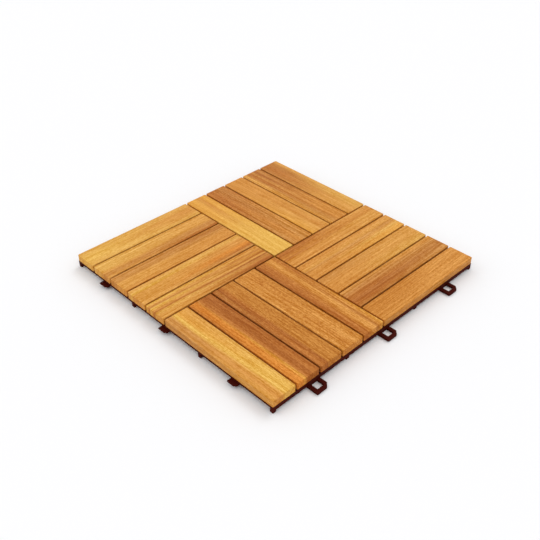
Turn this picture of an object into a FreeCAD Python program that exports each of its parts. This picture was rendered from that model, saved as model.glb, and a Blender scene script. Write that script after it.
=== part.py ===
import FreeCAD, Part
import os
import Sketcher
from FreeCAD import Placement, Rotation, Vector

# Interlocking deck tile: twenty hardwood slats in a basket weave, each held by
# two screws from below on a moulded plastic base grid. The base carries loops
# on its +X and +Y sides and tabs with pegs on its -X and -Y sides.
# Origin: centre of the tile on the ground, under the middle foot. +Z is up.

doc = FreeCAD.newDocument("deck_tile")

# ---------------------------------------------------------------- sizes (mm)
SIZES = [
    ("tile_side", 300.0, "side of the slat field and of the base frame"),
    ("slat_width", 28.2, "width of a slat"),
    ("slat_gap", 2.0, "gap between slats"),
    ("slat_length", 149.0, "length of a slat"),
    ("slat_thick", 7.8, "thickness of a slat"),
    ("slat_corner", 1.2, "radius of a slat's upright corners"),
    ("slat_arris", 0.5, "radius of a slat's top edges"),
    ("slat_under", 0.4, "chamfer of a slat's bottom edges"),
    ("pilot_dia", 3.04, "pilot hole in a slat"),
    ("pilot_depth", 5.9, "depth of the pilot hole"),
    ("base_top", 7.2, "top of the base, underside of the slats"),
    ("rib_bottom", 3.4, "underside of the ribs"),
    ("rib_thick", 1.8, "thickness of a rib"),
    ("mid_rib_thick", 6.4, "thickness of the two middle ribs under the slat ends"),
    ("rail_thick", 2.4, "thickness of the edge rails"),
    ("tab_rail", 5.2, "underside of the tab-side rails"),
    ("low_rail", 2.5, "underside of the loop-side rails"),
    ("foot_side", 3.8, "side of a square foot"),
    ("line_one", 26.0, "rib line, distance from the middle"),
    ("line_two", 52.0, "rib and foot line"),
    ("line_three", 76.0, "rib line"),
    ("line_four", 100.0, "rib and foot line, connector centre line"),
    ("line_five", 124.0, "rib line"),
    ("link_shift", 1.2, "shift of every connector along its side"),
    ("loop_width", 16.2, "width of a loop"),
    ("loop_reach", 12.5, "how far a loop stands out"),
    ("loop_bar", 3.7, "width of a loop's bars"),
    ("loop_bottom", 0.5, "underside of a loop"),
    ("loop_top", 3.0, "top of a loop"),
    ("loop_cut", 3.8, "cut corner of a loop"),
    ("loop_round", 1.0, "radius of a loop's other corner"),
    ("tab_width", 10.9, "width of a tab"),
    ("tab_reach", 4.6, "how far a tab stands out"),
    ("tab_bottom", 3.2, "underside of a tab"),
    ("tab_top", 4.6, "top of a tab"),
    ("tab_cut", 2.4, "cut corner of a tab"),
    ("peg_width", 7.6, "width of a peg"),
    ("peg_out", 2.2, "how far a peg stands out"),
    ("peg_in", 3.5, "how far a peg reaches inside the edge"),
    ("peg_bottom", 0.8, "underside of a peg"),
    ("peg_lead", 0.6, "lead-in chamfer of a peg"),
    ("boss_dia", 8.4, "screw boss"),
    ("boss_bottom", 3.4, "underside of a screw boss, flush with the ribs"),
    ("clear_dia", 3.4, "screw clearance hole in the base"),
    ("recess_dia", 6.4, "recess for the screw head"),
    ("head_seat", 5.5, "height of the seat under the screw head"),
    ("screw_dia", 3.0, "screw, over the thread"),
    ("screw_long", 7.5, "screw, under the head"),
    ("screw_tip", 1.8, "length of the screw's point"),
    ("head_dia", 5.6, "screw head"),
    ("head_high", 2.0, "height of the screw head"),
    ("head_rim", 0.7, "upright part of the screw head"),
    ("head_flat", 2.8, "flat on the end of the screw head"),
    ("cross_long", 3.0, "cross recess, length of an arm pair"),
    ("cross_wide", 0.8, "cross recess, width of an arm"),
    ("cross_deep", 1.2, "cross recess, depth"),
]

sheet = doc.addObject("Spreadsheet::Sheet", "Sizes")
for row, (alias, value, note) in enumerate(SIZES, start=1):
    sheet.set("A%d" % row, note)
    sheet.set("B%d" % row, repr(value))
    sheet.setAlias("B%d" % row, alias)
doc.recompute()


class Size:
    """A length that knows both its number and the sheet expression behind it."""

    def __init__(self, number, text):
        self.number = number
        self.text = text

    @staticmethod
    def of(other):
        return other if isinstance(other, Size) else Size(float(other), repr(float(other)))

    def __add__(self, other):
        other = Size.of(other)
        return Size(self.number + other.number, "(%s + %s)" % (self.text, other.text))

    def __sub__(self, other):
        other = Size.of(other)
        return Size(self.number - other.number, "(%s - %s)" % (self.text, other.text))

    def __mul__(self, other):
        other = Size.of(other)
        return Size(self.number * other.number, "(%s * %s)" % (self.text, other.text))

    def __truediv__(self, other):
        other = Size.of(other)
        return Size(self.number / other.number, "(%s / %s)" % (self.text, other.text))

    def __neg__(self):
        return Size(-self.number, "(0 - %s)" % self.text)


D = {alias: Size(value, "Sizes.%s" % alias) for alias, value, note in SIZES}
half = D["tile_side"] / 2
zero = Size(0.0, "0.0")


# ------------------------------------------------------------ sketch helpers
def origin_plane(body, role):
    for feature in body.Origin.OriginFeatures:
        if feature.Role == role:
            return feature
    raise RuntimeError("no plane " + role)


def new_sketch(body, name, height=None, role="XY_Plane"):
    sketch = body.newObject("Sketcher::SketchObject", name)
    sketch.AttachmentSupport = [(origin_plane(body, role), "")]
    sketch.MapMode = "FlatFace"
    if height is not None:
        sketch.AttachmentOffset = Placement(Vector(0, 0, height.number), Rotation())
        sketch.setExpression("AttachmentOffset.Base.z", height.text)
    return sketch


class Plan:
    """Outlines and dimensions for one sketch, added to it together by close()."""

    def __init__(self, sketch):
        self.sketch = sketch
        self.curves = []
        self.rules = []
        self.bound = []

    def dim(self, kind, args, size):
        self.bound.append((len(self.rules), size.text))
        self.rules.append(Sketcher.Constraint(kind, *args, size.number))

    def lines(self, points):
        first = len(self.curves)
        count = len(points)
        for i in range(count):
            a, b = points[i], points[(i + 1) % count]
            self.curves.append(Part.LineSegment(Vector(a[0].number, a[1].number, 0),
                                                Vector(b[0].number, b[1].number, 0)))
        for i in range(count):
            self.rules.append(Sketcher.Constraint("Coincident", first + i, 2,
                                                  first + (i + 1) % count, 1))
        return first

    def polygon(self, points):
        """A closed outline through fully dimensioned corner points."""
        first = self.lines(points)
        for i, (x, y) in enumerate(points):
            self.dim("DistanceX", (-1, 1, first + i, 1), x)
            self.dim("DistanceY", (-1, 1, first + i, 1), y)

    def rectangle(self, left, right, low, high):
        """An upright rectangle dimensioned from the sketch origin."""
        first = self.lines([(left, low), (right, low), (right, high), (left, high)])
        self.rules.append(Sketcher.Constraint("Horizontal", first))
        self.rules.append(Sketcher.Constraint("Vertical", first + 1))
        self.rules.append(Sketcher.Constraint("Horizontal", first + 2))
        self.rules.append(Sketcher.Constraint("Vertical", first + 3))
        self.dim("DistanceX", (-1, 1, first, 1), left)
        self.dim("DistanceX", (-1, 1, first + 1, 1), right)
        self.dim("DistanceY", (-1, 1, first, 1), low)
        self.dim("DistanceY", (-1, 1, first + 2, 1), high)

    def circles(self, centres, diameter):
        """Equal circles, the first one dimensioned."""
        start = len(self.curves)
        for x, y in centres:
            index = len(self.curves)
            self.curves.append(Part.Circle(Vector(x.number, y.number, 0), Vector(0, 0, 1),
                                           diameter.number / 2))
            if index == start:
                self.dim("Diameter", (index,), diameter)
            else:
                self.rules.append(Sketcher.Constraint("Equal", start, index))
            self.dim("DistanceX", (-1, 1, index, 3), x)
            self.dim("DistanceY", (-1, 1, index, 3), y)

    def close(self):
        self.sketch.addGeometry(self.curves, False)
        self.sketch.addConstraint(self.rules)
        for index, text in self.bound:
            self.sketch.setExpression("Constraints[%d]" % index, text)
        return self.sketch


def pad(body, name, sketch, length):
    feature = body.newObject("PartDesign::Pad", name)
    feature.Profile = sketch
    feature.Refine = False
    feature.Length = length.number
    feature.setExpression("Length", length.text)
    doc.recompute()
    return feature


def pocket(body, name, sketch, length, reverse, refine=True):
    before = body.Shape.Volume
    feature = body.newObject("PartDesign::Pocket", name)
    feature.Profile = sketch
    feature.Refine = refine
    feature.Reversed = reverse
    feature.Length = length.number
    feature.setExpression("Length", length.text)
    doc.recompute()
    if not body.Shape.Volume < before - 1e-3:
        raise RuntimeError("%s cuts nothing" % name)
    return feature


def dress(body, kind, name, size, pick):
    """A fillet or chamfer on the edges of the body's tip that pick() accepts."""
    base = body.Tip
    names = ["Edge%d" % (i + 1) for i, edge in enumerate(base.Shape.Edges) if pick(edge)]
    if not names:
        raise RuntimeError("%s finds no edge" % name)
    feature = body.newObject("PartDesign::" + kind, name)
    feature.Base = (base, names)
    if kind == "Fillet":
        feature.Radius = size.number
        feature.setExpression("Radius", size.text)
    else:
        feature.Size = size.number
        feature.setExpression("Size", size.text)
    doc.recompute()
    return feature


def upright(edge):
    a, b = edge.Vertexes[0].Point, edge.Vertexes[-1].Point
    return abs(a.x - b.x) < 1e-6 and abs(a.y - b.y) < 1e-6 and abs(a.z - b.z) > 1e-3


def at_height(edge, height):
    return all(abs(v.Point.z - height.number) < 1e-6 for v in edge.Vertexes)


# ------------------------------------------------- slat and screw positions
pitch = D["slat_width"] + D["slat_gap"]
# distance of the five slat centre lines of a quarter from the tile's middle,
# from the edge inwards
centre_line = [half - D["slat_width"] / 2 - pitch * k for k in range(5)]
outer_hole = half - D["line_five"]      # from a slat's outer end
inner_hole = half - D["line_one"]

# left quarter (-X, -Y): slats along Y; each other quarter is the same, turned
screw_points = []
for line in centre_line:
    for along in (D["line_five"], D["line_one"]):
        screw_points += [(-line, -along), (along, -line), (line, along), (-along, line)]


# ------------------------------------------------------------------ base grid
base = doc.addObject("PartDesign::Body", "deck_base")
base.Label = "base_grid"

rails = Plan(new_sketch(base, "rail_outline", D["tab_rail"]))
rails.rectangle(-half, half, -half, half)
inside = half - D["rail_thick"]
rails.rectangle(-inside, inside, -inside, inside)
pad(base, "rails", rails.close(), D["base_top"] - D["tab_rail"])

lines = [D["line_one"], D["line_two"], D["line_three"], D["line_four"], D["line_five"]]
rib_reach = half - D["rail_thick"] / 2
for axis in ("x", "y"):
    ribs = Plan(new_sketch(base, "ribs_along_" + axis, D["rib_bottom"]))
    spans = [(-D["mid_rib_thick"] / 2, D["mid_rib_thick"] / 2)]
    for line in lines:
        spans += [(line - D["rib_thick"] / 2, line + D["rib_thick"] / 2),
                  (-line - D["rib_thick"] / 2, -line + D["rib_thick"] / 2)]
    for low, high in spans:
        if axis == "x":
            ribs.rectangle(-rib_reach, rib_reach, low, high)
        else:
            ribs.rectangle(low, high, -rib_reach, rib_reach)
    pad(base, "rib_set_" + axis, ribs.close(), D["base_top"] - D["rib_bottom"])

# the rails on the loop sides reach further down
low_rails = Plan(new_sketch(base, "low_rail_outline", D["low_rail"]))
low_rails.polygon([(half, -half), (half, half), (-half, half), (-half, inside),
                   (inside, inside), (inside, -half)])
pad(base, "low_rails", low_rails.close(), D["base_top"] - D["low_rail"])

# square feet on the rib crossings, flush with the rails along the edge and left
# out where a connector sits: one quarter is drawn and mirrored both ways
feet = Plan(new_sketch(base, "feet_plan"))
edge_line = half - D["foot_side"] / 2
stops = [zero, D["line_two"], D["line_four"], edge_line]
for ix, x in enumerate(stops):
    for iy, y in enumerate(stops):
        if (ix == 3 and iy in (0, 2)) or (iy == 3 and ix in (0, 2)):
            continue
        side = D["foot_side"] / 2
        feet.rectangle(x - side, x + side, y - side, y + side)
quarter_feet = pad(base, "quarter_feet", feet.close(), D["base_top"])
mirrors = []
for role in ("YZ_Plane", "XZ_Plane"):
    mirror = base.newObject("PartDesign::Mirrored", "feet_mirror_" + role[:2])
    mirror.MirrorPlane = (origin_plane(base, role), [""])
    mirrors.append(mirror)
all_feet = base.newObject("PartDesign::MultiTransform", "all_feet")
all_feet.Originals = [quarter_feet]
all_feet.Transformations = mirrors
all_feet.Refine = False
base.Tip = all_feet
doc.recompute()

# round bosses under the slats for the screws
bosses = Plan(new_sketch(base, "boss_plan", D["boss_bottom"]))
bosses.circles(screw_points, D["boss_dia"])
pad(base, "bosses", bosses.close(), D["base_top"] - D["boss_bottom"])

# three loops on the +X side and three on the +Y side: flat rings with one cut
# corner, at the end that points away from the tab sides
link_centres = [-D["line_four"] + D["link_shift"], D["link_shift"], D["line_four"] + D["link_shift"]]
loops = Plan(new_sketch(base, "loop_plan", D["loop_bottom"]))
out = half + D["loop_reach"]
for centre in link_centres:
    near, far = centre - D["loop_width"] / 2, centre + D["loop_width"] / 2
    ring = [(inside, near), (out, near), (out, far - D["loop_cut"]),
            (out - D["loop_cut"], far), (inside, far)]
    loops.polygon(ring)
    loops.polygon([(b, a) for a, b in ring])
    loops.rectangle(half, out - D["loop_bar"], near + D["loop_bar"], far - D["loop_bar"])
    loops.rectangle(near + D["loop_bar"], far - D["loop_bar"], half, out - D["loop_bar"])
pad(base, "loops", loops.close(), D["loop_top"] - D["loop_bottom"])

# three tabs on the -Y side and three on the -X side, thin tongues that lie over
# the next tile's loops
tabs = Plan(new_sketch(base, "tab_plan", D["tab_bottom"]))
tab_out = half + D["tab_reach"]
for centre in link_centres:
    near, far = centre - D["tab_width"] / 2, centre + D["tab_width"] / 2
    tongue = [(near, -inside), (near, -tab_out), (far - D["tab_cut"], -tab_out),
              (far, -tab_out + D["tab_cut"]), (far, -inside)]
    tabs.polygon(tongue)
    tabs.polygon([(b, a) for a, b in tongue])
pad(base, "tabs", tabs.close(), D["tab_top"] - D["tab_bottom"])

# the tabs' roots, where the thin rails reach down to carry them
roots = Plan(new_sketch(base, "tab_root_plan", D["tab_bottom"]))
for centre in link_centres:
    near, far = centre - D["tab_width"] / 2, centre + D["tab_width"] / 2
    roots.rectangle(near, far, -half, -inside)
    roots.rectangle(-half, -inside, near, far)
pad(base, "tab_roots", roots.close(), D["base_top"] - D["tab_bottom"])

# the pegs under the tabs, which drop into the next tile's loops
pegs = Plan(new_sketch(base, "peg_plan", D["peg_bottom"]))
for centre in link_centres:
    near, far = centre - D["peg_width"] / 2, centre + D["peg_width"] / 2
    pegs.rectangle(near, far, -half - D["peg_out"], -half + D["peg_in"])
    pegs.rectangle(-half - D["peg_out"], -half + D["peg_in"], near, far)
pad(base, "pegs", pegs.close(), D["tab_top"] - D["peg_bottom"])

# screw holes: a recess for the head from below and a clearance hole above it
recesses = Plan(new_sketch(base, "recess_plan"))
recesses.circles(screw_points, D["recess_dia"])
pocket(base, "head_recesses", recesses.close(), D["head_seat"], True, False)
clear = Plan(new_sketch(base, "clear_plan"))
clear.circles(screw_points, D["clear_dia"])
pocket(base, "clear_holes", clear.close(), D["base_top"] + 1, True)

# the pegs' lead-in chamfers and the loops' rounded corners
dress(base, "Chamfer", "peg_leads", D["peg_lead"], lambda e: at_height(e, D["peg_bottom"]))


def loop_corner(edge):
    if not upright(edge):
        return False
    p = edge.Vertexes[0].Point
    top = max(v.Point.z for v in edge.Vertexes)
    if abs(top - D["loop_top"].number) > 1e-6:
        return False
    for centre in link_centres:
        near = (centre - D["loop_width"] / 2).number
        for a, b in ((p.x, p.y), (p.y, p.x)):
            if abs(a - out.number) < 1e-6 and abs(b - near) < 1e-6:
                return True
    return False


dress(base, "Fillet", "loop_corners", D["loop_round"], loop_corner)


# -------------------------------------------------------------------- slats
def make_slat(label, turn, base_x, base_y):
    """One slat, lying along its own +X from its outer end, on the base's top."""
    body = doc.addObject("PartDesign::Body", label)
    body.Label = label
    plan = Plan(new_sketch(body, label + "_plan"))
    plan.rectangle(zero, D["slat_length"], -D["slat_width"] / 2, D["slat_width"] / 2)
    pad(body, label + "_block", plan.close(), D["slat_thick"])
    dress(body, "Fillet", label + "_corners", D["slat_corner"], upright)
    dress(body, "Fillet", label + "_arris", D["slat_arris"],
          lambda e: at_height(e, D["slat_thick"]))
    dress(body, "Chamfer", label + "_under", D["slat_under"],
          lambda e: at_height(e, zero))
    holes = Plan(new_sketch(body, label + "_pilots"))
    holes.circles([(outer_hole, zero), (inner_hole, zero)], D["pilot_dia"])
    pocket(body, label + "_holes", holes.close(), D["pilot_depth"], True)
    body.Placement = Placement(Vector(base_x.number, base_y.number, D["base_top"].number),
                               Rotation(Vector(0, 0, 1), turn))
    body.setExpression("Placement.Base.x", base_x.text)
    body.setExpression("Placement.Base.y", base_y.text)
    body.setExpression("Placement.Base.z", D["base_top"].text)
    return body


slats = []
for k in range(5):
    outward = centre_line[k]
    inward = centre_line[4 - k]
    slats.append(make_slat("slat_left_%d" % (k + 1), 90, -outward, -half))
    slats.append(make_slat("slat_front_%d" % (k + 1), 180, half, -outward))
    slats.append(make_slat("slat_right_%d" % (k + 1), -90, inward, half))
    slats.append(make_slat("slat_back_%d" % (k + 1), 0, -half, inward))


# ------------------------------------------------------------------- screws
# one pan-head screw with a cross recess, seat of the head at its own origin,
# point upwards
screw = doc.addObject("PartDesign::Body", "screw")
profile = Plan(new_sketch(screw, "screw_profile", None, "XZ_Plane"))
shank = D["screw_dia"] / 2
head = D["head_dia"] / 2
profile.polygon([
    (zero, D["screw_long"]),
    (zero, -D["head_high"]),
    (D["head_flat"] / 2, -D["head_high"]),
    (head - D["head_rim"] * 0.35, -D["head_rim"] * 1.7),
    (head, -D["head_rim"]),
    (head, zero),
    (shank, zero),
    (shank, D["screw_long"] - D["screw_tip"]),
])
turned = screw.newObject("PartDesign::Revolution", "screw_turned")
outline = profile.close()
turned.Profile = outline
turned.ReferenceAxis = (outline, ["V_Axis"])
turned.Angle = 360
doc.recompute()
cross = Plan(new_sketch(screw, "cross_plan", -D["head_high"]))
arm, wide = D["cross_long"] / 2, D["cross_wide"] / 2
cross.polygon([(-arm, -wide), (-wide, -wide), (-wide, -arm), (wide, -arm), (wide, -wide),
                (arm, -wide), (arm, wide), (wide, wide), (wide, arm), (-wide, arm),
                (-wide, wide), (-arm, wide)])
pocket(screw, "cross_recess", cross.close(), D["cross_deep"], True)

copies = []
for i, (x, y) in enumerate(screw_points):
    copy = doc.addObject("App::Link", "screw_%02d" % (i + 1))
    copy.LinkedObject = screw
    copy.Placement = Placement(Vector(x.number, y.number, D["head_seat"].number),
                               Rotation(Vector(0, 0, 1), (37 * i) % 90))
    copy.setExpression("Placement.Base.x", x.text)
    copy.setExpression("Placement.Base.y", y.text)
    copy.setExpression("Placement.Base.z", D["head_seat"].text)
    copies.append(copy)
screws = doc.addObject("Part::Compound", "screw_set")
screws.Label = "screws"
screws.Links = copies
doc.recompute()

# ------------------------------------------------------------ checks, output
parts = [base] + slats + [screws]
for obj in doc.Objects:
    if "Invalid" in obj.State or "Error" in obj.State:
        raise RuntimeError("%s is %s" % (obj.Name, obj.State))
for obj in parts:
    shape = obj.Shape
    if shape.isNull() or not shape.isValid():
        raise RuntimeError("%s has no valid shape" % obj.Label)
    solids = len(shape.Solids)
    expected = len(screw_points) if obj is screws else 1
    if solids != expected:
        raise RuntimeError("%s has %d solids" % (obj.Label, solids))

os.makedirs("parts", exist_ok=True)
for obj in parts:
    obj.Shape.exportStep("parts/%s.step" % obj.Label)
    box = obj.Shape.BoundBox
    print("%-14s %2d solid(s) %10.1f mm3  x %.2f..%.2f  y %.2f..%.2f  z %.2f..%.2f" % (
        obj.Label, len(obj.Shape.Solids), obj.Shape.Volume,
        box.XMin, box.XMax, box.YMin, box.YMax, box.ZMin, box.ZMax))
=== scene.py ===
import math

import bpy
from mathutils import Matrix, Vector


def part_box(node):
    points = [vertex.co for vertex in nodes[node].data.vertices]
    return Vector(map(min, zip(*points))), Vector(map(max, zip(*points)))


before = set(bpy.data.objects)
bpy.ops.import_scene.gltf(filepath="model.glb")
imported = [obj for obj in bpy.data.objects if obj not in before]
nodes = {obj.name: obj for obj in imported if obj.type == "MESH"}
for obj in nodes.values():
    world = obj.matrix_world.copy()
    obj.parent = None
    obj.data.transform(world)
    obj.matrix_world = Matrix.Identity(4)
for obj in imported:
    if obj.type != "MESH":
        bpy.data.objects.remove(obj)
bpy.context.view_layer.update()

# Interlocking deck tile: twenty oiled hardwood slats in a basket weave on a
# moulded plastic base. Lengths are metres; wood patterns are drawn in mm.

scene = bpy.context.scene
scene.view_settings.view_transform = "Standard"
scene.view_settings.look = "None"


# ------------------------------------------------------------ material helpers
def linear(red, green, blue):
    """A display colour, 0 to 255 each, as the linear values a shader takes."""
    out = []
    for c in (red, green, blue):
        c = c / 255.0
        out.append(c / 12.92 if c <= 0.04045 else ((c + 0.055) / 1.055) ** 2.4)
    return out


class Net:
    """One material's node tree, built with short calls."""

    def __init__(self, name):
        self.material = bpy.data.materials.new(name)
        self.material.use_nodes = True
        self.tree = self.material.node_tree
        self.tree.nodes.clear()
        self.output = self.new("ShaderNodeOutputMaterial")
        self.coords = self.new("ShaderNodeTexCoord")

    def new(self, kind, **settings):
        node = self.tree.nodes.new(kind)
        for key, value in settings.items():
            setattr(node, key, value)
        return node

    def put(self, socket, value):
        """Links an output to the socket, or sets the number on it."""
        if isinstance(value, bpy.types.NodeSocket):
            self.tree.links.new(value, socket)
        else:
            socket.default_value = value

    def math(self, op, a, b=0.0, third=0.0, clamp=False):
        node = self.new("ShaderNodeMath", operation=op, use_clamp=clamp)
        for socket, value in zip(node.inputs, (a, b, third)):
            self.put(socket, value)
        return node.outputs[0]

    def tint(self, colour, shade, weights):
        """Lightens or darkens a colour by a shade about zero, each channel by its own weight."""
        scale = self.new("ShaderNodeVectorMath", operation="SCALE")
        scale.inputs[0].default_value = weights
        self.put(scale.inputs["Scale"], shade)
        factor = self.new("ShaderNodeVectorMath", operation="ADD")
        self.put(factor.inputs[0], scale.outputs[0])
        factor.inputs[1].default_value = (1, 1, 1)
        times = self.new("ShaderNodeVectorMath", operation="MULTIPLY")
        self.put(times.inputs[0], colour)
        self.put(times.inputs[1], factor.outputs[0])
        return times.outputs[0]

    def span(self, value, lo, hi, to_lo=0.0, to_hi=1.0, smooth=False):
        node = self.new("ShaderNodeMapRange", interpolation_type="SMOOTHSTEP" if smooth else "LINEAR")
        node.clamp = True
        self.put(node.inputs["Value"], value)
        for key, v in (("From Min", lo), ("From Max", hi), ("To Min", to_lo), ("To Max", to_hi)):
            self.put(node.inputs[key], v)
        return node.outputs[0]

    def mapping(self, vector, scale=(1, 1, 1), turn=0.0, shift=(0, 0, 0)):
        node = self.new("ShaderNodeMapping", vector_type="POINT")
        self.put(node.inputs["Vector"], vector)
        node.inputs["Scale"].default_value = scale
        node.inputs["Rotation"].default_value = (0, 0, turn)
        node.inputs["Location"].default_value = shift
        return node.outputs[0]

    def split(self, vector):
        node = self.new("ShaderNodeSeparateXYZ")
        self.put(node.inputs[0], vector)
        return node.outputs

    def join(self, x, y, z):
        node = self.new("ShaderNodeCombineXYZ")
        for socket, value in zip(node.inputs, (x, y, z)):
            self.put(socket, value)
        return node.outputs[0]

    def noise(self, vector, scale=1.0, detail=2.0, rough=0.5, distort=0.0):
        node = self.new("ShaderNodeTexNoise", noise_dimensions="3D")
        self.put(node.inputs["Vector"], vector)
        node.inputs["Scale"].default_value = scale
        node.inputs["Detail"].default_value = detail
        node.inputs["Roughness"].default_value = rough
        node.inputs["Distortion"].default_value = distort
        return node.outputs[0]

    def ramp(self, value, stops, mode="LINEAR"):
        node = self.new("ShaderNodeValToRGB")
        self.put(node.inputs[0], value)
        ramp = node.color_ramp
        ramp.interpolation = mode
        while len(ramp.elements) > 1:
            ramp.elements.remove(ramp.elements[-1])
        ramp.elements[0].position = stops[0][0]
        ramp.elements[0].color = (*stops[0][1], 1)
        for place, colour in stops[1:]:
            element = ramp.elements.new(place)
            element.color = (*colour, 1)
        return node.outputs["Color"]

    def mix(self, factor, a, b, blend="MIX"):
        node = self.new("ShaderNodeMix", data_type="RGBA", blend_type=blend)
        sockets = [s for s in node.inputs if s.type == "RGBA"]
        self.put(node.inputs[0], factor)
        for socket, value in zip(sockets, (a, b)):
            self.put(socket, value if isinstance(value, bpy.types.NodeSocket) else (*value, 1))
        return [s for s in node.outputs if s.type == "RGBA"][0]

    def bump(self, height, distance, strength=1.0, normal=None):
        node = self.new("ShaderNodeBump")
        node.inputs["Strength"].default_value = strength
        node.inputs["Distance"].default_value = distance
        self.put(node.inputs["Height"], height)
        if normal is not None:
            self.put(node.inputs["Normal"], normal)
        return node.outputs[0]

    def principled(self, **values):
        node = self.new("ShaderNodeBsdfPrincipled")
        for key, value in values.items():
            self.put(node.inputs[key.replace("_", " ")], value)
        self.tree.links.new(node.outputs[0], self.output.inputs["Surface"])
        return node


# ------------------------------------------------------------------ the wood
# Tones of the oiled hardwood, as they look in daylight.
TONES = {
    "straw": (236, 185, 91),
    "honey": (228, 173, 88),
    "gold": (231, 167, 78),
    "light": (223, 160, 80),
    "amber": (216, 148, 72),
    "orange": (222, 141, 61),
    "rose": (219, 148, 76),
    "tan": (208, 145, 76),
    "copper": (207, 137, 63),
    "ochre": (199, 131, 60),
    "brown": (195, 129, 66),
    "rust": (191, 119, 57),
    "umber": (176, 106, 52),
    "dark": (150, 88, 42),
}
WOOD_GAIN = 0.982         # keeps the tones as named under this scene's light
SHEEN = 0.016             # what the oil's gloss adds to each tone
HALF_WIDTH = 14.1          # half a slat's width, mm


def tone(name):
    return [max(c - SHEEN, .004) * WOOD_GAIN for c in linear(*TONES[name])]


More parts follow.
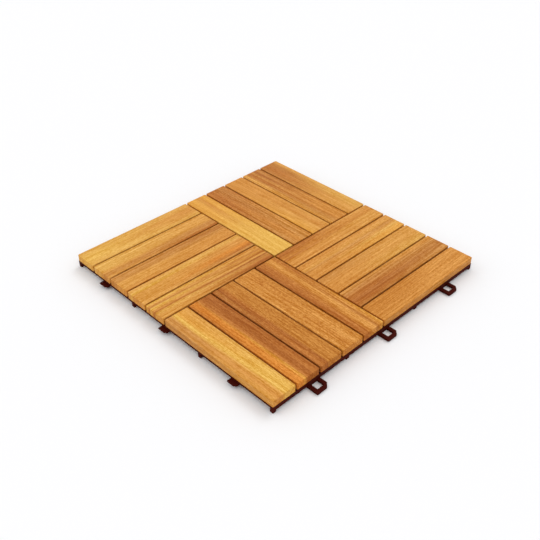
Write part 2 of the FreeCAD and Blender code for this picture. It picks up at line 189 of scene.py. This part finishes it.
# Each slat: stops across its width, from its low side to its high side, at its
# low end ("near") and its high end ("far"). "lean" turns the grain by degrees.
# "pith" is where the tree's centre ran: mm across, mm below, and how far it
# rises per mm. "rings", "fibre", "pores" and "mottle" set how strong each is.
SLATS = {
    "left_1": dict(near=[(0, "honey"), (.5, "straw"), (1, "honey")],
                   far=[(0, "honey"), (.3, "light"), (.5, "amber"), (.75, "light"), (1, "honey")],
                   lean=.6, pith=(40, 30, .03), rings=.12, lines=.08, fibre=.26, pores=.30, mottle=.22),
    "left_2": dict(near=[(0, "honey"), (.5, "honey"), (.62, "light"), (.74, "tan"), (.84, "tan"), (1, "light")],
                   far=[(0, "light"), (.5, "light"), (.62, "tan"), (.76, "brown"), (.84, "tan"), (.90, "rust"), (1, "rust")],
                   lean=-.4, pith=(60, 25, .02), rings=.24, lines=.25, fibre=.30, pores=.32, mottle=.22),
    "left_3": dict(near=[(0, "tan"), (.15, "tan"), (.36, "tan"), (.46, "light"), (.8, "light"), (1, "amber")],
                   far=[(0, "tan"), (.12, "brown"), (.2, "brown"), (.33, "tan"), (.5, "amber"), (.8, "amber"), (1, "amber")],
                   lean=.3, pith=(-70, 25, .02), rings=.24, lines=.25, fibre=.30, pores=.32, mottle=.24),
    "left_4": dict(near=[(0, "light"), (.18, "honey"), (.25, "straw"), (.33, "light"), (.5, "light"), (.75, "light"), (1, "light")],
                   far=[(0, "light"), (.15, "honey"), (.26, "light"), (.36, "amber"), (.5, "amber"), (.7, "orange"), (.9, "rust"), (1, "tan")],
                   lean=.5, pith=(-60, 20, .02), rings=.24, lines=.25, fibre=.30, pores=.32, mottle=.22),
    "left_5": dict(near=[(0, "honey"), (.1, "straw"), (.2, "light"), (.3, "brown"), (.38, "straw"), (.48, "light"), (.6, "rust"), (.68, "honey"), (.85, "light"), (1, "light")],
                   far=[(0, "amber"), (.1, "light"), (.19, "rust"), (.27, "light"), (.4, "rust"), (.48, "light"), (.58, "umber"), (.67, "tan"), (.8, "rust"), (.9, "umber"), (1, "rust")],
                   lean=-1.6, pith=(-50, 20, .04), rings=.28, lines=.3, fibre=.34, pores=.30, mottle=.18),
    "back_1": dict(near=[(0, "gold"), (.3, "gold"), (.5, "light"), (.62, "amber"), (.75, "gold"), (1, "gold")],
                   far=[(0, "straw"), (.5, "straw"), (1, "straw")],
                   lean=.5, pith=(50, 30, .02), rings=.10, lines=.06, fibre=.22, pores=.20, mottle=.18),
    "back_2": dict(near=[(0, "rust"), (.3, "rust"), (.6, "brown"), (.8, "brown"), (1, "rust")],
                   far=[(0, "tan"), (.4, "copper"), (.7, "tan"), (1, "amber")],
                   lean=.4, pith=(60, 30, .02), rings=.30, lines=.65, fibre=.42, pores=.45, mottle=.22),
    "back_3": dict(near=[(0, "amber"), (.5, "amber"), (1, "amber")],
                   far=[(0, "gold"), (.4, "light"), (.7, "amber"), (1, "light")],
                   lean=-.8, pith=(10, 34, .10), rings=.12, lines=.15, fibre=.22, pores=.30, mottle=.24),
    "back_4": dict(near=[(0, "light"), (.15, "light"), (.25, "brown"), (.4, "rust"), (.55, "tan"), (.68, "umber"), (.82, "brown"), (1, "brown")],
                   far=[(0, "light"), (.3, "tan"), (.5, "copper"), (.62, "amber"), (1, "amber")],
                   lean=.2, pith=(80, 24, .01), rings=.28, lines=.75, fibre=.34, pores=.36, mottle=.20),
    "back_5": dict(near=[(0, "brown"), (.3, "rust"), (.6, "brown"), (.8, "tan"), (.9, "light"), (1, "gold")],
                   far=[(0, "light"), (.4, "light"), (.8, "honey"), (1, "honey")],
                   lean=.4, pith=(-60, 30, .02), rings=.12, lines=.15, fibre=.26, pores=.30, mottle=.24),
    "right_1": dict(near=[(0, "rust"), (.15, "rust"), (.38, "copper"), (.46, "rust"), (.56, "amber"), (1, "amber")],
                    far=[(0, "light"), (.2, "amber"), (.4, "amber"), (.5, "light"), (1, "light")],
                    lean=.5, pith=(-70, 24, .02), rings=.22, lines=.25, fibre=.34, pores=.36, mottle=.24),
    "right_2": dict(near=[(0, "amber"), (.2, "amber"), (.35, "light"), (.45, "tan"), (.6, "amber"), (1, "amber")],
                    far=[(0, "amber"), (.3, "light"), (.45, "tan"), (.58, "light"), (.7, "honey"), (.8, "gold"), (1, "gold")],
                    lean=.3, pith=(70, 26, .02), rings=.26, lines=.35, fibre=.32, pores=.32, mottle=.22),
    "right_3": dict(near=[(0, "tan"), (.5, "amber"), (1, "amber")],
                    far=[(0, "light"), (.5, "light"), (1, "honey")],
                    lean=.4, pith=(50, 30, .03), rings=.12, lines=.15, fibre=.30, pores=.44, mottle=.26),
    "right_4": dict(near=[(0, "amber"), (.12, "tan"), (.25, "brown"), (.5, "rust"), (.62, "umber"), (.8, "rust"), (1, "brown")],
                    far=[(0, "light"), (.18, "amber"), (.28, "tan"), (.6, "brown"), (1, "tan")],
                    lean=.3, pith=(-80, 24, .01), rings=.44, lines=.5, fibre=.34, pores=.34, mottle=.22),
    "right_5": dict(near=[(0, "copper"), (.5, "copper"), (1, "amber")],
                    far=[(0, "amber"), (.4, "amber"), (1, "amber")],
                    lean=.5, pith=(60, 28, .02), rings=.30, lines=.3, fibre=.34, pores=.30, mottle=.24),
    "front_1": dict(near=[(0, "tan"), (.28, "tan"), (.36, "honey"), (.45, "straw"), (.6, "gold"), (1, "light")],
                    far=[(0, "light"), (.2, "amber"), (.35, "light"), (.48, "straw"), (.75, "straw"), (1, "honey")],
                    lean=-1.0, pith=(-50, 30, .04), rings=.18, lines=.2, fibre=.30, pores=.30, mottle=.24),
    "front_2": dict(near=[(0, "rust"), (.12, "orange"), (.30, "orange"), (.38, "copper"), (.42, "rust"), (.7, "umber"), (1, "umber")],
                    far=[(0, "orange"), (.22, "orange"), (.34, "gold"), (.41, "rust"), (.6, "umber"), (.8, "rust"), (1, "umber")],
                    lean=-.2, pith=(80, 26, .01), rings=.18, lines=.5, fibre=.40, pores=.48, mottle=.22),
    "front_3": dict(near=[(0, "umber"), (.1, "brown"), (.2, "umber"), (.35, "rust"), (.5, "ochre"), (1, "ochre")],
                    far=[(0, "umber"), (.2, "rust"), (.33, "umber"), (.44, "ochre"), (.62, "ochre"), (1, "ochre")],
                    lean=.3, pith=(-70, 26, .02), rings=.28, lines=.4, fibre=.46, pores=.45, mottle=.26),
    "front_4": dict(near=[(0, "amber"), (.3, "amber"), (.6, "copper"), (1, "ochre")],
                    far=[(0, "amber"), (.4, "copper"), (.6, "amber"), (1, "amber")],
                    lean=-.6, pith=(40, 34, .04), rings=.20, lines=.15, fibre=.48, pores=.75, mottle=.40),
    "front_5": dict(near=[(0, "umber"), (.15, "rust"), (.35, "rust"), (.48, "copper"), (.6, "amber"), (.75, "copper"), (.88, "rust"), (1, "copper")],
                    far=[(0, "rust"), (.25, "rust"), (.38, "copper"), (.5, "amber"), (.62, "amber"), (.74, "brown"), (.84, "amber"), (1, "gold")],
                    lean=.8, pith=(-40, 24, .05), rings=.36, lines=.7, fibre=.44, pores=.45, mottle=.22),
}


def wood(name, spec, seed):
    """Oiled hardwood for one slat: bands, growth rings, fibres and pores, all cut from one solid pattern."""
    lo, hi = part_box("slat_" + name)
    centre = (lo + hi) / 2
    turned = (hi.y - lo.y) > (hi.x - lo.x)
    net = Net("wood_" + name + "_oiled")
    # millimetres from the slat's centre: x along the board, y across it, z up
    if turned:
        turn, shift = -math.pi / 2, (-centre.y * 1000, centre.x * 1000, -centre.z * 1000)
    else:
        turn, shift = 0.0, (-centre.x * 1000, -centre.y * 1000, -centre.z * 1000)
    board = net.mapping(net.coords.outputs["Object"], (1000, 1000, 1000), turn, shift)
    if turned:                    # low x is the low side of the board
        board = net.mapping(board, (1, -1, 1))
    along, across, up = net.split(net.mapping(board, turn=math.radians(spec["lean"])))
    seed = 37.0 * seed

    def field(per_along, per_across, per_up, offset, detail, rough=.55, distort=0.0):
        """Noise with its own scale along, across and through the board, centred on zero."""
        spot = net.join(net.math("MULTIPLY", along, per_along), net.math("MULTIPLY", across, per_across),
                        net.math("MULTIPLY_ADD", up, per_up, third=seed + offset))
        return net.math("SUBTRACT", net.noise(spot, detail=detail, rough=rough, distort=distort), .5)

    # the grain bends slowly, and each band's edge is a little ragged
    bend = field(.007, .02, .03, 0, 1.0)
    kink = field(.030, .55, .40, 5, 2.0)
    across = net.math("ADD", across, net.math("ADD", net.math("MULTIPLY", bend, 4.0), net.math("MULTIPLY", kink, 1.5)))

    place = net.span(across, -HALF_WIDTH, HALF_WIDTH)
    near = net.ramp(place, [(p, tone(t)) for p, t in spec["near"]])
    far = net.ramp(place, [(p, tone(t)) for p, t in spec["far"]])
    slide = net.math("ADD", along, net.math("MULTIPLY", field(.015, .40, .1, 9, 2.0), 110.0))
    base = net.mix(net.span(slide, -60, 60, smooth=True), near, far)

    # growth rings round the pith
    a0, depth, rise = spec["pith"]
    side = net.math("SUBTRACT", across, a0)
    below = net.math("ADD", net.math("ADD", up, depth), net.math("MULTIPLY", along, rise))
    radius = net.math("SQRT", net.math("ADD", net.math("MULTIPLY", side, side), net.math("MULTIPLY", below, below)))
    rings = net.math("SUBTRACT", net.noise(net.join(net.math("MULTIPLY", radius, .42), net.math("MULTIPLY", along, .004), seed),
                                           detail=3.0, rough=.62), .5)
    # streaks run most of the board, fibres a few centimetres and flecks a few millimetres
    streak = field(.006, .62, .40, 13, 3.0, .62)
    fibre = field(.045, 1.15, .60, 15, 2.0, .6)
    fleck = field(.28, .95, 1.0, 17, 3.0, .7)
    mottle = field(.06, .16, .2, 21, 2.0, .5)

    shade = net.math("MULTIPLY", rings, spec["rings"] * 4.0)
    for layer, strength in ((streak, spec["fibre"] * 3.9), (fibre, spec["fibre"] * 3.0), (fleck, spec["fibre"] * 6.0),
                            (mottle, spec["mottle"] * 1.8)):
        shade = net.math("ADD", shade, net.math("MULTIPLY", layer, strength))
    # late wood: thin dark lines between the rings, broken along their length
    late = net.math("SUBTRACT", net.noise(net.join(net.math("MULTIPLY", radius, .30), net.math("MULTIPLY", along, .003), seed + 50),
                                          detail=1.0, rough=.4), .5)
    late = net.span(net.math("ABSOLUTE", late), .030, .004)
    late = net.math("MULTIPLY", late, net.span(fibre, -.16, .06, 1.0, .25))
    shade = net.math("SUBTRACT", shade, net.math("MULTIPLY", late, spec["lines"]))
    # a darker streak is redder too: it loses most of its blue and least of its red
    base = net.tint(base, net.math("MAXIMUM", shade, -.42), (.53, .90, 2.05))

    # pores: short dark dashes along the grain
    dashes = field(.16, 1.7, 1.4, 31, 2.0, .6)
    fine_dashes = field(.45, 4.2, 3.0, 37, 1.0)
    pores = net.math("MAXIMUM", net.span(dashes, .10, .20), net.math("MULTIPLY", net.span(fine_dashes, .08, .16), .8))
    base = net.mix(net.math("MULTIPLY", pores, spec["pores"]), base, (.66, .44, .26), "MULTIPLY")

    # sawn ends are a little darker and duller than the faces, as end grain is; the planed side faces carry painted
    # shade, a little darker than the top
    nx, ny, nz = net.split(net.coords.outputs["Normal"])
    end = net.span(net.math("ABSOLUTE", ny if turned else nx), .6, .95)
    painted_side_shade = net.span(net.math("ABSOLUTE", nx if turned else ny), .75, .98)
    base = net.mix(net.math("MULTIPLY", end, .5), base, (.80, .66, .58), "MULTIPLY")
    # painted shade: the slat's upright sides are darkened by the way they face, not by the wood
    base = net.mix(net.math("MULTIPLY", painted_side_shade, .5), base, (.74, .68, .62), "MULTIPLY")

    rough = net.span(fibre, -.2, .2, .50, .62)
    rough = net.math("ADD", rough, net.math("MULTIPLY", pores, .12))
    rough = net.math("ADD", rough, net.math("MULTIPLY", end, .12), clamp=True)
    height = net.math("SUBTRACT", net.math("MULTIPLY", net.math("ADD", fibre, fleck), .5), net.math("MULTIPLY", pores, .6))
    net.principled(Base_Color=base, Roughness=rough, Specular_IOR_Level=.13,
                   Normal=net.bump(height, .00012, .5))
    return net.material


for number, (name, spec) in enumerate(sorted(SLATS.items()), start=1):
    slat = nodes["slat_" + name]
    slat.data.materials.clear()
    slat.data.materials.append(wood(name, spec, number))


# --------------------------------------------------------------- the plastic
def plastic():
    """Injection-moulded plastic, dark red-brown, with a fine spark texture and slight flow marks."""
    net = Net("base_plastic_moulded")
    mm = net.mapping(net.coords.outputs["Object"], (1000, 1000, 1000))
    cloud = net.noise(mm, .05, detail=3.0)
    grit = net.noise(mm, 3.4, detail=2.0, rough=.6)
    scuff = net.noise(mm, .9, detail=4.0, rough=.7)
    colour = net.mix(net.span(cloud, .35, .65), (.050, .0046, .0024), (.062, .0062, .0034))
    colour = net.mix(net.span(scuff, .60, .75, 0, .3), colour, (.086, .014, .008))
    rough = net.math("ADD", net.span(cloud, .3, .7, .56, .66), net.span(scuff, .55, .75, 0, .12))
    net.principled(Base_Color=colour, Roughness=rough, Specular_IOR_Level=.03,
                   Normal=net.bump(grit, .00005, .5))
    return net.material


def steel():
    """Stainless screw steel with a fine surface texture and a little staining."""
    net = Net("screw_steel_turned")
    mm = net.mapping(net.coords.outputs["Object"], (1000, 1000, 1000))
    fine = net.noise(mm, 9.0, detail=3.0, rough=.6)
    stain = net.noise(mm, .6, detail=3.0)
    colour = net.mix(net.span(stain, .4, .7), linear(206, 203, 197), linear(158, 150, 140))
    net.principled(Base_Color=colour, Metallic=1.0, Roughness=net.span(fine, .3, .7, .26, .42),
                   Normal=net.bump(fine, .00002, .4))
    return net.material


for name, material in (("base_grid", plastic()), ("screws", steel())):
    nodes[name].data.materials.clear()
    nodes[name].data.materials.append(material)


# ----------------------------------------------------------------- the stage
def floor():
    mesh = bpy.data.meshes.new("floor")
    size = 6.0
    mesh.from_pydata([(-size, -size, 0), (size, -size, 0), (size, size, 0), (-size, size, 0)], [], [(0, 1, 2, 3)])
    thing = bpy.data.objects.new("floor", mesh)
    scene.collection.objects.link(thing)
    net = Net("pale_floor")
    net.principled(Base_Color=(FLOOR, FLOOR, FLOOR * 1.012, 1), Roughness=.9, Specular_IOR_Level=0.0)
    mesh.materials.append(net.material)
    return thing


def soft_sun(name, place, strength, spread):
    """Light from a wide patch of the studio's ceiling, as even as a sun's; strength is what it adds to a white floor."""
    toward = Vector(place).normalized()
    data = bpy.data.lights.new(name, "SUN")
    data.angle = math.radians(spread)
    data.energy = strength * math.pi / toward.z
    thing = bpy.data.objects.new(name, data)
    scene.collection.objects.link(thing)
    thing.location = toward * 2
    thing.rotation_mode = "QUATERNION"
    thing.rotation_quaternion = (-toward).to_track_quat("-Z", "Y")
    return thing


# an even dome, a little brighter behind and on the left, with a soft key high behind and a weak fill from the left
KEY, FILL, DOME = .11, .04, .89
LEAN = (-.05, .05, 0)       # how much brighter the dome grows toward each side
FLOOR = .995 / (KEY + FILL + DOME)
floor()
soft_sun("key", (-.25, 1.3, 1.6), KEY, 26)
soft_sun("fill", (-1.3, -1.5, 1.1), FILL, 40)

world = bpy.data.worlds.new("dome")
scene.world = world
world.use_nodes = True
sky = world.node_tree
background = sky.nodes["Background"]
background.inputs["Color"].default_value = (1, 1, 1, 1)
place = sky.nodes.new("ShaderNodeTexCoord")
slope = sky.nodes.new("ShaderNodeVectorMath")
slope.operation = "DOT_PRODUCT"
sky.links.new(place.outputs["Generated"], slope.inputs[0])
slope.inputs[1].default_value = [c * DOME for c in LEAN]
level = sky.nodes.new("ShaderNodeMath")
level.operation = "ADD"
sky.links.new(slope.outputs["Value"], level.inputs[0])
level.inputs[1].default_value = DOME
sky.links.new(level.outputs[0], background.inputs["Strength"])


# ---------------------------------------------------------------- the camera
AZIMUTH, ELEVATION = math.radians(45.6414), math.radians(36.7867)
right = Vector((math.cos(AZIMUTH), math.sin(AZIMUTH), 0))
back = Vector((math.sin(AZIMUTH) * math.cos(ELEVATION), -math.cos(AZIMUTH) * math.cos(ELEVATION), math.sin(ELEVATION)))
up = back.cross(right)
camera_data = bpy.data.cameras.new("camera")
camera_data.sensor_fit = "HORIZONTAL"
camera_data.sensor_width = 36
camera_data.lens = 50.147
camera_data.clip_start, camera_data.clip_end = .01, 50
camera = bpy.data.objects.new("camera", camera_data)
scene.collection.objects.link(camera)
turn = Matrix((right, up, back)).transposed().to_4x4()
camera.matrix_world = Matrix.Translation((.466219, -.462778, .487314)) @ turn
scene.camera = camera
